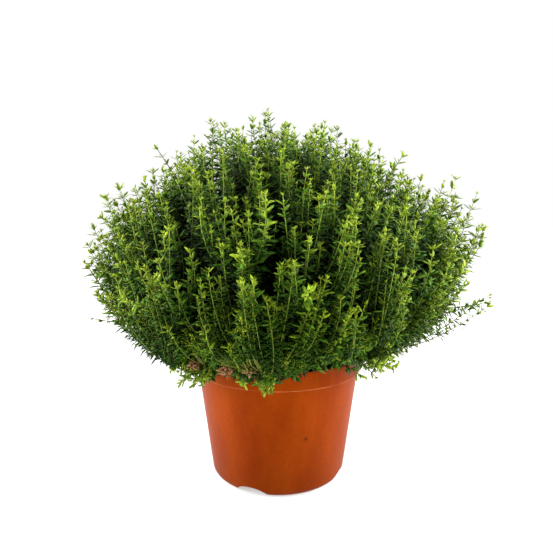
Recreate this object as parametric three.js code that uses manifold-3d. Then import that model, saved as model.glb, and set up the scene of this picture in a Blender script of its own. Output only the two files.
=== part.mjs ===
// A potted thyme: a dense dome of leafy stems, standing in the compost of a moulded plastic pot.
// Millimetres, +Z up, with the origin at the centre of the pot's underside.
import * as THREE from 'three';
import { mergeVertices } from 'three/addons/utils/BufferGeometryUtils.js';
import Module from 'manifold-3d';

const wasm = await Module();
wasm.setup();

// Pot
const POT_HEIGHT = 101.5;
const RIM_RADIUS = 70;
const LIP_DEPTH = 1.1;
const LIP_HEIGHT = 2.4;
const BAND_HEIGHT = 14.8;
const BAND_FOOT_RADIUS = 67.8;
const WALL_TOP_RADIUS = 65.8;
const WALL_FOOT_RADIUS = 55;
const FOOT_RADIUS = 50;
const FOOT_ROUND = 6;
const FOOT_RING = 7;
const FLOOR_RISE = 3.2;
const FLOOR_SLOPE = 2;
const PAD_RADIUS = 14;
const POT_WALL = 1.4;
const POT_SIDES = 32;
const FOOT_STEPS = 3;
const EDGE = 0.5;

// Drainage notches in the foot, a quarter turn apart
const NOTCH_WIDTH = 26;
const NOTCH_HEIGHT = 6;
const NOTCH_FROM = 40;
const NOTCH_TO = 60;
const NOTCH_COUNT = 4;
const FIRST_NOTCH = -113;

// Compost
const GAP = 0.3;
const SOIL_EDGE_Z = 87;
const SOIL_CROWN_Z = 92;
const SOIL_LUMP = 0.9;
const LUMPS_ACROSS = 0.31;
const LUMPS_ALONG = 0.27;
const SOIL_SIDES = 24;
const SOIL_RINGS = 3;
const HOLE_RADIUS = 2.4;
const HOLE_DEPTH = 13;
const HOLE_SIDES = 5;

// Stems
const STEM_COUNT = 35;
const STEM_FIELD = 55;
const STEM_RADIUS = 1.5;
const BARE_SHARE = 0.5;
const BARE_STEP = 24;
const GOLDEN_ANGLE = Math.PI * (3 - Math.sqrt(5));
const STEM_LEAN = 0.06;
const STEM_RISE = 0.36;
const TIP_RUN = 0.3;
const TIP_RISE = 0.22;
const OVER_RIM = 12;
const UP = new THREE.Vector3(0, 0, 1);

// The dome that the tips end on: its reach from the rim's centre at the rim, at the side and on top
const RIM_CENTRE = new THREE.Vector3(0, 0, POT_HEIGHT);
const RIM_REACH = 104;
const SIDE_REACH = 164;
const TOP_REACH = 190;
const SIDE_LIFT = 18;
const LOWEST_TIP = -4;
const LEAST_REACH = 0.96;
const REACH_SCATTER = 0.06;
const TURN_SCATTER = 0.12;

// Stems that stray from the dome: degrees round the pot, degrees above the rim, reach
const STRAYS = [
  [0, 41, 190],
  [4, 30, 181],
  [-6, 14, 174],
  [179, 24, 174],
  [-95, -3, 94],
  [-50, 0, 104],
  [91, 20, 168],
  [-84, 25, 168],
];

// Withered sprigs low over the rim, given in the same way, and how far out they stand
const WITHERED = [
  [-128, 4, 95],
  [-112, 4, 95],
  [-102, 5, 93],
];
const WITHERED_FIELD = 59;

// Side shoots, as shares of the stem that they leave
const SHOOTS_PER_STEM = 3;
const FIRST_SHOOT = 0.16;
const SHOOT_STEP = 0.23;
const SHOOT_SPAN = 0.36;
const SHOOT_SPREAD = 20;
const SHOOT_KNEE = 0.4;
const SHOOT_ROOM = 4;
const SHOOT_TURNS = [0, 40, -40, 80, -80, 120, -120, 180];
const SHOOT_TRIALS = 8;
const SHOOT_ROOT = 0.15;
const SHOOT_BARE = 20;
const SHOOT_RADIUS = 0.9;

// Leaves, in opposite pairs, each pair crosswise to the last
const PAIR_STEP = 8.5;
const LEAF_REACH = 7;
const LEAF_ROOT = 2;
const LEAF_LIFT = 4.5;
const LEAF_HALF_WIDTH = 1.4;
const TIP_LEAF = 0.6;
const TIP_LENGTH = 3;
const SIDES = 4;
const BEAD_STEP = 2;
const BEAD_GAP = 0.7;
const MERGE_WITHIN = 1e-4;

const { degToRad, lerp } = THREE.MathUtils;

// A repeatable draw between 0 and 1, another one for each item and purpose
function draw(item, purpose) {
  const wave = Math.sin(item * 12.9898 + purpose * 78.233) * 43758.5453;
  return wave - Math.floor(wave);
}

// A closed geometry as a solid: shared corners merged, collapsed triangles left out
function solid(geometry) {
  geometry.deleteAttribute('normal');
  geometry.deleteAttribute('uv');
  const merged = mergeVertices(geometry, MERGE_WITHIN);
  const corners = merged.index.array;
  const triangles = [];
  for (let i = 0; i < corners.length; i += 3) {
    const [a, b, c] = corners.slice(i, i + 3);
    if (a !== b && b !== c && c !== a) triangles.push(a, b, c);
  }
  const points = merged.attributes.position;
  if (volume(points, triangles) < 0) triangles.reverse();
  return new wasm.Manifold(new wasm.Mesh({
    numProp: 3,
    vertProperties: new Float32Array(points.array),
    triVerts: new Uint32Array(triangles),
  }));
}

// Signed volume, negative where the faces point inwards
function volume(points, triangles) {
  const [a, b, c] = [new THREE.Vector3(), new THREE.Vector3(), new THREE.Vector3()];
  let total = 0;
  for (let i = 0; i < triangles.length; i += 3) {
    a.fromBufferAttribute(points, triangles[i]);
    b.fromBufferAttribute(points, triangles[i + 1]);
    c.fromBufferAttribute(points, triangles[i + 2]);
    total += a.dot(b.cross(c)) / 6;
  }
  return total;
}

// A solid as a named mesh
function mesh(name, body, material) {
  const { vertProperties, triVerts } = body.getMesh();
  const geometry = new THREE.BufferGeometry();
  geometry.setAttribute('position', new THREE.BufferAttribute(new Float32Array(vertProperties), 3));
  geometry.setIndex(new THREE.BufferAttribute(new Uint32Array(triVerts), 1));
  geometry.computeVertexNormals();
  const piece = new THREE.Mesh(geometry, material);
  piece.name = name;
  return piece;
}

// A profile of [radius, height] turned round the Z axis
function turned(profile, sides) {
  const points = profile.map(([radius, height]) => new THREE.Vector2(radius, height));
  return new THREE.LatheGeometry(points, sides).rotateX(Math.PI / 2);
}

function terracottaPlastic() {
  return new THREE.MeshStandardMaterial({ color: 0xb0541c, roughness: 0.45, metalness: 0 });
}

function compostMaterial() {
  return new THREE.MeshStandardMaterial({ color: 0x2b1d12, roughness: 0.95, metalness: 0 });
}

function thymeMaterial() {
  return new THREE.MeshStandardMaterial({ color: 0x5f8420, roughness: 0.6, metalness: 0 });
}

function witheredMaterial() {
  return new THREE.MeshStandardMaterial({ color: 0x9a6a4c, roughness: 0.8, metalness: 0 });
}

// The pot's section: up the outside from the centre pad, over the lip and back down the inside
function potProfile() {
  const bandFoot = POT_HEIGHT - BAND_HEIGHT;
  const ringInside = FOOT_RADIUS - FOOT_RING;
  const outside = [
    [0, 0],
    [PAD_RADIUS, 0],
    [PAD_RADIUS + FLOOR_SLOPE, FLOOR_RISE],
    [ringInside - FLOOR_SLOPE, FLOOR_RISE],
    [ringInside, 0],
  ];
  for (let i = 0; i <= FOOT_STEPS; i += 1) {
    const turn = (i / FOOT_STEPS) * (Math.PI / 2);
    const radius = FOOT_RADIUS + (WALL_FOOT_RADIUS - FOOT_RADIUS) * Math.sin(turn);
    outside.push([radius, FOOT_ROUND * (1 - Math.cos(turn))]);
  }
  outside.push([WALL_TOP_RADIUS, bandFoot]);
  outside.push([BAND_FOOT_RADIUS, bandFoot + EDGE]);
  outside.push([RIM_RADIUS - LIP_DEPTH, POT_HEIGHT - LIP_HEIGHT]);
  outside.push([RIM_RADIUS, POT_HEIGHT - LIP_HEIGHT + EDGE]);
  outside.push([RIM_RADIUS, POT_HEIGHT - EDGE]);
  outside.push([RIM_RADIUS - EDGE, POT_HEIGHT]);
  const inside = [
    [RIM_RADIUS - POT_WALL - EDGE, POT_HEIGHT],
    [BAND_FOOT_RADIUS - POT_WALL, bandFoot + EDGE + POT_WALL],
    [WALL_TOP_RADIUS - POT_WALL, bandFoot - POT_WALL],
    [WALL_FOOT_RADIUS - POT_WALL, FOOT_ROUND],
    [FOOT_RADIUS, POT_WALL],
    [ringInside + POT_WALL / 2, POT_WALL],
    [ringInside - FLOOR_SLOPE + POT_WALL / 2, FLOOR_RISE + POT_WALL],
    [PAD_RADIUS + FLOOR_SLOPE - POT_WALL / 2, FLOOR_RISE + POT_WALL],
    [PAD_RADIUS - POT_WALL / 2, POT_WALL],
    [0, POT_WALL],
  ];
  return [...outside, ...inside];
}

// One arched drainage notch, cut from outside through the foot ring
function drainageNotch(angle) {
  const arch = new THREE.Shape();
  arch.moveTo(-NOTCH_WIDTH / 2, -1);
  arch.lineTo(NOTCH_WIDTH / 2, -1);
  arch.lineTo(NOTCH_WIDTH / 2, 0);
  arch.absellipse(0, 0, NOTCH_WIDTH / 2, NOTCH_HEIGHT, 0, Math.PI, false, 0);
  arch.lineTo(-NOTCH_WIDTH / 2, -1);
  const tunnel = new THREE.ExtrudeGeometry(arch, {
    depth: NOTCH_TO - NOTCH_FROM,
    curveSegments: 5,
    bevelEnabled: false,
  });
  tunnel.translate(0, 0, NOTCH_FROM);
  tunnel.rotateX(Math.PI / 2);
  tunnel.rotateZ(angle + Math.PI / 2);
  return solid(tunnel);
}

function pot() {
  let body = solid(turned(potProfile(), POT_SIDES));
  for (let i = 0; i < NOTCH_COUNT; i += 1) {
    const notch = drainageNotch(degToRad(FIRST_NOTCH + (i * 360) / NOTCH_COUNT));
    body = body.subtract(notch);
  }
  return mesh('pot', body, terracottaPlastic());
}

// Height of the compost, a low crown with lumps
function soilHeight(x, y) {
  const radius = Math.hypot(x, y);
  const crown = SOIL_CROWN_Z + (SOIL_EDGE_Z - SOIL_CROWN_Z) * (radius / WALL_TOP_RADIUS) ** 2;
  return crown + SOIL_LUMP * Math.sin(x * LUMPS_ACROSS + 1) * Math.cos(y * LUMPS_ALONG);
}

// The compost fills the pot to a little below the rim band, with a plain hole for each stem
function soil(feet) {
  const wallTop = WALL_TOP_RADIUS - POT_WALL - GAP;
  const wallFoot = WALL_FOOT_RADIUS - POT_WALL - GAP;
  const bottom = FLOOR_RISE + POT_WALL + GAP;
  const profile = [
    [0, bottom],
    [FOOT_RADIUS, bottom],
    [wallFoot, FOOT_ROUND + POT_WALL],
    [wallTop, SOIL_EDGE_Z - POT_WALL],
  ];
  for (let i = 1; i <= SOIL_RINGS; i += 1) {
    profile.push([wallTop * (1 - i / SOIL_RINGS), SOIL_EDGE_Z]);
  }
  const geometry = turned(profile, SOIL_SIDES);
  const points = geometry.attributes.position;
  for (let i = 0; i < points.count; i += 1) {
    const onTop = points.getZ(i) > SOIL_EDGE_Z - GAP;
    if (onTop) points.setZ(i, soilHeight(points.getX(i), points.getY(i)));
  }
  let body = solid(geometry);
  for (const foot of feet) {
    const hole = new THREE.CylinderGeometry(HOLE_RADIUS, HOLE_RADIUS, HOLE_DEPTH * 2, HOLE_SIDES);
    hole.rotateX(Math.PI / 2);
    hole.translate(foot.x, foot.y, foot.z);
    body = body.subtract(solid(hole));
  }
  return mesh('soil', body, compostMaterial());
}

// How far the dome reaches from the rim's centre at an angle above the rim
function domeReach(lift) {
  const side = Math.sin(degToRad(SIDE_LIFT));
  const share = Math.sin(lift) / side;
  if (share < 1) return lerp(RIM_REACH, SIDE_REACH, share);
  return lerp(SIDE_REACH, TOP_REACH, (Math.sin(lift) - side) / (1 - side));
}

// The direction at an angle round the pot and an angle above its rim
function direction(around, lift) {
  const out = Math.cos(lift);
  return new THREE.Vector3(Math.cos(around) * out, Math.sin(around) * out, Math.sin(lift));
}

// A stem's curve, from its hole's mouth up, over the rim and out to its tip on the dome
function stemCurve(mouth, tip) {
  const outward = tip.clone().sub(mouth).setZ(0);
  const lean = mouth.clone().addScaledVector(outward, STEM_LEAN);
  lean.z = Math.max(mouth.z + tip.distanceTo(mouth) * STEM_RISE, POT_HEIGHT + OVER_RIM * 2);
  const below = tip.clone().addScaledVector(outward, -TIP_RUN);
  below.z = Math.max(tip.z - (tip.z - mouth.z) * TIP_RISE, POT_HEIGHT + OVER_RIM);
  return new THREE.CubicBezierCurve3(mouth, lean, below, tip);
}

// Rings along a curve: bare ones first, then two for each pair of leaves, then the tip
function ringsAlong(curve, bareLength, bareCount, bareRadius) {
  const length = curve.getLength();
  const leafedLength = length - bareLength - TIP_LENGTH;
  const pairCount = Math.max(2, Math.round(leafedLength / PAIR_STEP));
  const rings = [];
  const addRing = (along, radius, pair, leaf) => {
    rings.push({ place: curve.getPointAt(along / length), share: along / length, radius, pair, leaf });
  };
  for (let i = 0; i < bareCount; i += 1) addRing((bareLength * i) / bareCount, bareRadius, 0, 0);
  for (let i = 0; i < pairCount; i += 1) {
    const along = bareLength + (leafedLength * i) / (pairCount - 1);
    const last = i === pairCount - 1;
    addRing(along, LEAF_HALF_WIDTH, i, last ? TIP_LEAF : 1);
    if (!last) addRing(along + LEAF_ROOT, LEAF_HALF_WIDTH, i, 0);
  }
  addRing(length, 0, 0, 0);
  return rings;
}

// The directions at a ring: ahead along the row, and two square to it
function frameAt(rings, i, side) {
  const before = rings[Math.max(i - 1, 0)].place;
  const after = rings[Math.min(i + 1, rings.length - 1)].place;
  const ahead = after.clone().sub(before).normalize();
  const above = ahead.clone().cross(side).normalize();
  const across = above.clone().cross(ahead).normalize();
  return { ahead, across, above };
}

// A direction square to a frame, at a turn round it
function asideOf({ across, above }, turn) {
  return across.clone().multiplyScalar(Math.cos(turn)).addScaledVector(above, Math.sin(turn));
}

// Where the corners of a ring lie, those of a leaf pair drawn out and lifted where they have room
function ringCorners(rings, i, { side, turn, others, beads }) {
  const { place, radius, pair, leaf } = rings[i];
  const frame = frameAt(rings, i, side);
  return Array.from({ length: SIDES }, (_, corner) => {
    const aside = asideOf(frame, turn + (corner * 2 * Math.PI) / SIDES);
    const bare = place.clone().addScaledVector(aside, radius);
    if (leaf === 0 || (corner + pair) % 2 === 1) return bare;
    const end = place.clone().addScaledVector(aside, LEAF_REACH * leaf)
      .addScaledVector(frame.ahead, LEAF_LIFT);
    const under = rings[Math.max(i - 1, 0)].place;
    const over = rings[i + 1].place;
    const roots = [under, under.clone().lerp(place, 0.5), place, place.clone().lerp(over, 0.5), over];
    const blade = roots.flatMap((root) => [0.2, 0.4, 0.6, 0.8, 1].map((share) => ({
      place: root.clone().lerp(end, share),
      radius: LEAF_HALF_WIDTH * (1.25 - share),
    })));
    const near = others.filter((other) => other.place.distanceTo(place) < LEAF_REACH * 2);
    if (!beadsClear(blade, near) || !beadsClearPot(blade)) return bare;
    beads.push(...blade);
    return end;
  });
}

// A body along a row of rings, four-sided, whose leafed rings are drawn out into pairs of leaves
function leafyBody(rings, growth) {
  const profile = [new THREE.Vector2(0, 0), ...rings.map((_, i) => new THREE.Vector2(1, i))];
  const geometry = new THREE.LatheGeometry(profile, SIDES);
  const vertices = geometry.attributes.position;
  const corners = rings.map((_, i) => ringCorners(rings, i, growth));
  for (let vertex = 0; vertex < vertices.count; vertex += 1) {
    const row = (vertex % profile.length) - 1;
    const corner = Math.floor(vertex / profile.length) % SIDES;
    const { x, y, z } = row < 0 ? rings[0].place : corners[row][corner];
    vertices.setXYZ(vertex, x, y, z);
  }
  return solid(geometry);
}

// Beads strung along a row of places, to tell whether two pieces would touch
function beadsAlong(places, radius, from = 0) {
  const path = new THREE.CurvePath();
  places.slice(1).forEach((place, i) => path.add(new THREE.LineCurve3(places[i], place)));
  const count = Math.ceil((path.getLength() * (1 - from)) / BEAD_STEP);
  return Array.from({ length: count + 1 }, (_, i) => ({
    place: path.getPointAt(from + (1 - from) * (i / count)),
    radius,
  }));
}

function beadsClear(beads, others) {
  return beads.every(({ place, radius }) => others.every((other) => {
    const room = radius + other.radius + BEAD_GAP;
    return place.distanceToSquared(other.place) > room * room;
  }));
}

// Whether beads stay off the rim, the wall and the compost
function beadsClearPot(beads) {
  return beads.every(({ place, radius }) => {
    const out = Math.hypot(place.x, place.y);
    const room = radius + GAP;
    if (out < WALL_TOP_RADIUS - POT_WALL - room) return place.z > soilHeight(place.x, place.y) + room;
    return out > RIM_RADIUS + room || place.z > POT_HEIGHT + room;
  });
}

// A tip given as degrees round the pot, degrees above the rim and reach
function givenTip([around, lift, reach]) {
  return { toward: direction(degToRad(around), degToRad(lift)), reach };
}

// Where each leafy stem's tip lies: spread evenly over the dome, the strays in place of the nearest
function domeTips() {
  const tips = Array.from({ length: STEM_COUNT }, (_, number) => {
    const share = (number + 0.5) / STEM_COUNT;
    const around = number * GOLDEN_ANGLE + TURN_SCATTER * (draw(number, 1) - 0.5);
    const lift = Math.asin(1 - share * (1 - Math.sin(degToRad(LOWEST_TIP))));
    const reach = domeReach(lift) * (LEAST_REACH + REACH_SCATTER * draw(number, 2));
    return { toward: direction(around, lift), reach };
  });
  for (const stray of STRAYS.map(givenTip)) {
    const angles = tips.map((tip) => tip.toward.angleTo(stray.toward));
    tips[angles.indexOf(Math.min(...angles))] = stray;
  }
  return tips;
}

// Where one stem stands, its rings, and where its side shoots leave it
function layOutStem({ toward, reach }, number, spot, shootCount) {
  const around = Math.atan2(toward.y, toward.x);
  const foot = new THREE.Vector3(Math.cos(around) * spot, Math.sin(around) * spot, 0);
  foot.z = soilHeight(foot.x, foot.y);
  const side = new THREE.Vector3(-Math.sin(around), Math.cos(around), 0);
  const mouth = foot.clone().addScaledVector(UP, STEM_RADIUS);
  const curve = stemCurve(mouth, toward.clone().multiplyScalar(reach).add(RIM_CENTRE));
  const bareLength = curve.getLength() * BARE_SHARE;
  const rings = ringsAlong(curve, bareLength, Math.ceil(bareLength / BARE_STEP), STEM_RADIUS);
  const shoots = Array.from({ length: shootCount }, (_, k) => ({
    from: FIRST_SHOOT + SHOOT_STEP * k,
    turn: k * GOLDEN_ANGLE + draw(number, 3) * Math.PI * 2,
  }));
  return { number, foot, side, curve, rings, shoots };
}

// A side shoot's curve, leaving a stem at one of its rings and bending up to run beside it
function shootCurve({ curve, rings, side }, from, turn) {
  const nearest = (share) => rings.filter((ring) => ring.share <= share).length - 1;
  const start = rings[nearest(from)];
  const end = Math.min(start.share + SHOOT_SPAN, 1);
  const aside = asideOf(frameAt(rings, nearest(end), side), turn);
  const knee = curve.getPointAt(lerp(start.share, end, SHOOT_KNEE));
  knee.addScaledVector(aside, SHOOT_SPREAD);
  const tip = curve.getPointAt(end).addScaledVector(aside, SHOOT_SPREAD);
  return new THREE.QuadraticBezierCurve3(start.place.clone(), knee, tip);
}

// A stem with its side shoots and leaves, and the beads that tell the next stems where it is
function leafyStem(stem, others) {
  const { foot, side, rings, shoots, number } = stem;
  const bottom = { place: foot.clone().setZ(foot.z - HOLE_DEPTH + GAP), radius: STEM_RADIUS, leaf: 0 };
  const beads = beadsAlong(rings.map(({ place }) => place), STEM_RADIUS);
  const growth = { side, others, beads, turn: draw(number, 4) * Math.PI };
  const parts = [leafyBody([bottom, ...rings], growth)];
  for (const { from, turn } of shoots) {
    const options = SHOOT_TURNS.map((extra) => shootCurve(stem, from, turn + degToRad(extra)));
    const curve = options.find((option) => {
      const trial = beadsAlong(option.getSpacedPoints(SHOOT_TRIALS), SHOOT_ROOM, SHOOT_ROOT);
      return beadsClear(trial, others) && beadsClearPot(trial);
    });
    if (!curve) continue;
    const shootRings = ringsAlong(curve, SHOOT_BARE, 1, SHOOT_RADIUS);
    beads.push(...beadsAlong(shootRings.map(({ place }) => place), LEAF_HALF_WIDTH));
    parts.push(leafyBody(shootRings, growth));
  }
  return { body: wasm.Manifold.union(parts), beads };
}

// Every stem laid out: the withered sprigs near the wall, and the leafy ones from the middle out
function layOutStems() {
  const withered = WITHERED.map(givenTip).map((tip, k) => ({
    ...layOutStem(tip, STEM_COUNT + k, WITHERED_FIELD, 0),
    name: `withered_sprig_${k + 1}`,
    material: witheredMaterial(),
  }));
  const leafy = domeTips().map((tip, number) => ({
    ...layOutStem(tip, number, STEM_FIELD * Math.sqrt((number + 0.5) / STEM_COUNT), SHOOTS_PER_STEM),
    name: `stem_${String(number + 1).padStart(2, '0')}`,
    material: thymeMaterial(),
  }));
  return [...withered, ...leafy];
}

function build() {
  const plant = new THREE.Group();
  const stems = layOutStems();
  plant.add(pot());
  plant.add(soil(stems.map(({ foot }) => foot)));
  const bare = stems.map(({ rings }) => beadsAlong(rings.map(({ place }) => place), STEM_RADIUS));
  const grown = [];
  stems.forEach((stem, i) => {
    const { body, beads } = leafyStem(stem, [...grown, ...bare.slice(i + 1).flat()]);
    plant.add(mesh(stem.name, body, stem.material));
    grown.push(...beads);
  });
  return plant;
}

export default build();
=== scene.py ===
import math
import random

import bmesh
import bpy
import numpy as np
from mathutils import Matrix, Vector, geometry, noise


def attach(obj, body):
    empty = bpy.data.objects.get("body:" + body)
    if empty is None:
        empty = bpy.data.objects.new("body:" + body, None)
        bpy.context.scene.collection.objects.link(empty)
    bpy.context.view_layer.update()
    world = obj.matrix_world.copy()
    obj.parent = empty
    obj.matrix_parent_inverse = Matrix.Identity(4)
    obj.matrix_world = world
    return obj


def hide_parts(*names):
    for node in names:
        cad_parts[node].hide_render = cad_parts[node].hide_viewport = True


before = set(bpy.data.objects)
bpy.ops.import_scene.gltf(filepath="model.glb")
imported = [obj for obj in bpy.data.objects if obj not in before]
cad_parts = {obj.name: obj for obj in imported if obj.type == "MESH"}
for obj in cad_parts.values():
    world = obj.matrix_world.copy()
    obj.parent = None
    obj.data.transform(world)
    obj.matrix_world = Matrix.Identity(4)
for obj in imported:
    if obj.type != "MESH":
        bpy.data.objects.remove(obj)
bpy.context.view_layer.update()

# Pot
# A nursery pot, injection moulded in one piece from polypropylene that is coloured like terracotta:
# a rim band with a lip, a tapered wall, a rounded foot, and four arched drainage notches cut in it.
MM = 0.001
POT_HEIGHT = 101.5
RIM_RADIUS = 70
BAND_FOOT = 86.7
WALL_TOP_RADIUS = 65.8
FOOT_RADIUS = 50
POT_STEPS = 144
POT_OUTLINE = [
    (0, 0), (14, 0), (16, 3.2), (41, 3.2), (43, 0), (50, 0),
    (51.9, 0.5), (53.5, 1.8), (54.6, 3.7), (55, 6),
    (WALL_TOP_RADIUS, BAND_FOOT), (67.9, BAND_FOOT + 0.4), (68.9, 99.1), (RIM_RADIUS, 99.5),
    (RIM_RADIUS, 101), (69.5, POT_HEIGHT),
    (68.1, POT_HEIGHT), (66.4, 88.6), (64.4, 85.3), (53.6, 6), (50, 1.6),
    (43.7, 1.6), (41.7, 4.6), (15.3, 4.6), (13.3, 1.6), (0, 1.6),
]
POT_EDGE = 0.35
SHARP = math.radians(24)
NOTCH_HALF_WIDTH = 13
NOTCH_HEIGHT = 6
NOTCH_FROM = 40
NOTCH_TO = 62
NOTCH_STEPS = 40
NOTCH_COUNT = 4
FIRST_NOTCH = -113
SCUFF_AT = (20.5, -57.1, 47.5)
# The pot's plastic colours; the pale one is a painted highlight for the band's foot and the lip
PLASTIC = {"deep": "#7D2B02", "mid": "#893403", "light": "#963D06", "painted_highlight": "#D98F5E", "mark": "#5E2406"}


def linear(colour, strength=1.0):
    """An sRGB hex colour as linear red, green, blue and alpha."""
    parts = [int(colour[i : i + 2], 16) / 255 for i in (1, 3, 5)]
    lit = [p / 12.92 if p <= 0.04045 else ((p + 0.055) / 1.055) ** 2.4 for p in parts]
    return [p * strength for p in lit] + [1.0]


def add(tree, kind, inputs=None, links=None, stops=None, **settings):
    """Adds a node with its settings, its unlinked inputs, its links and, on a ramp, its stops."""
    node = tree.nodes.new(kind)
    for name, value in settings.items():
        setattr(node, name, value)
    for name, value in (inputs or {}).items():
        node.inputs[name].default_value = value
    for name, socket in (links or {}).items():
        tree.links.new(socket, node.inputs[name])
    for i, (place, colour) in enumerate(stops or []):
        elements = node.color_ramp.elements
        stop = elements[i] if i < 2 else elements.new(place)
        stop.position = place
        stop.color = colour
    return node


def new_material(name):
    """An empty node material, with its output."""
    material = bpy.data.materials.new(name)
    material.use_nodes = True
    tree = material.node_tree
    tree.nodes.clear()
    return material, tree, tree.nodes.new("ShaderNodeOutputMaterial")


def object_from(bm, name, *materials):
    """A shape made in millimetres, as an object at the origin with its place in its mesh."""
    bmesh.ops.scale(bm, vec=(MM, MM, MM), verts=bm.verts)
    mesh = bpy.data.meshes.new(name)
    bm.to_mesh(mesh)
    bm.free()
    for material in materials:
        mesh.materials.append(material)
    piece = bpy.data.objects.new(name, mesh)
    bpy.context.scene.collection.objects.link(piece)
    return piece


def turned(outline, steps):
    """A shell turned round the Z axis from an outline of radius and height."""
    bm = bmesh.new()
    row = [bm.verts.new((radius, 0, height)) for radius, height in outline]
    for low, high in zip(row, row[1:]):
        bm.edges.new((low, high))
    bmesh.ops.spin(bm, geom=bm.verts[:] + bm.edges[:], axis=(0, 0, 1), cent=(0, 0, 0),
                   angle=2 * math.pi, steps=steps, use_merge=True)
    bmesh.ops.remove_doubles(bm, verts=bm.verts, dist=0.001)
    bmesh.ops.recalc_face_normals(bm, faces=bm.faces)
    return bm


def notch_cutter(angle):
    """A half-round bar that cuts one drainage notch from outside through the foot ring."""
    bm = bmesh.new()
    bmesh.ops.create_circle(bm, cap_ends=True, segments=NOTCH_STEPS, radius=1)
    bmesh.ops.scale(bm, vec=(NOTCH_HALF_WIDTH, NOTCH_HEIGHT, 1), verts=bm.verts)
    grown = bmesh.ops.extrude_face_region(bm, geom=bm.faces[:])["geom"]
    ends = [part for part in grown if isinstance(part, bmesh.types.BMVert)]
    bmesh.ops.translate(bm, vec=(0, 0, NOTCH_TO - NOTCH_FROM), verts=ends)
    bmesh.ops.translate(bm, vec=(0, 0, NOTCH_FROM), verts=bm.verts)
    bmesh.ops.recalc_face_normals(bm, faces=bm.faces)
    turn = Matrix.Rotation(angle + math.pi / 2, 3, "Z") @ Matrix.Rotation(math.pi / 2, 3, "X")
    bmesh.ops.rotate(bm, matrix=turn, verts=bm.verts)
    return object_from(bm, "notch_cutter")


def cut(piece, cutters):
    """Cuts the cutters out of a piece, and removes them."""
    for cutter in cutters:
        modifier = piece.modifiers.new("notch", "BOOLEAN")
        modifier.object = cutter
        modifier.operation = "DIFFERENCE"
        modifier.solver = "EXACT"
    shape = piece.evaluated_get(bpy.context.evaluated_depsgraph_get())
    mesh = bpy.data.meshes.new_from_object(shape)
    piece.modifiers.clear()
    piece.data = mesh
    for cutter in cutters:
        bpy.data.objects.remove(cutter)


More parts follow.
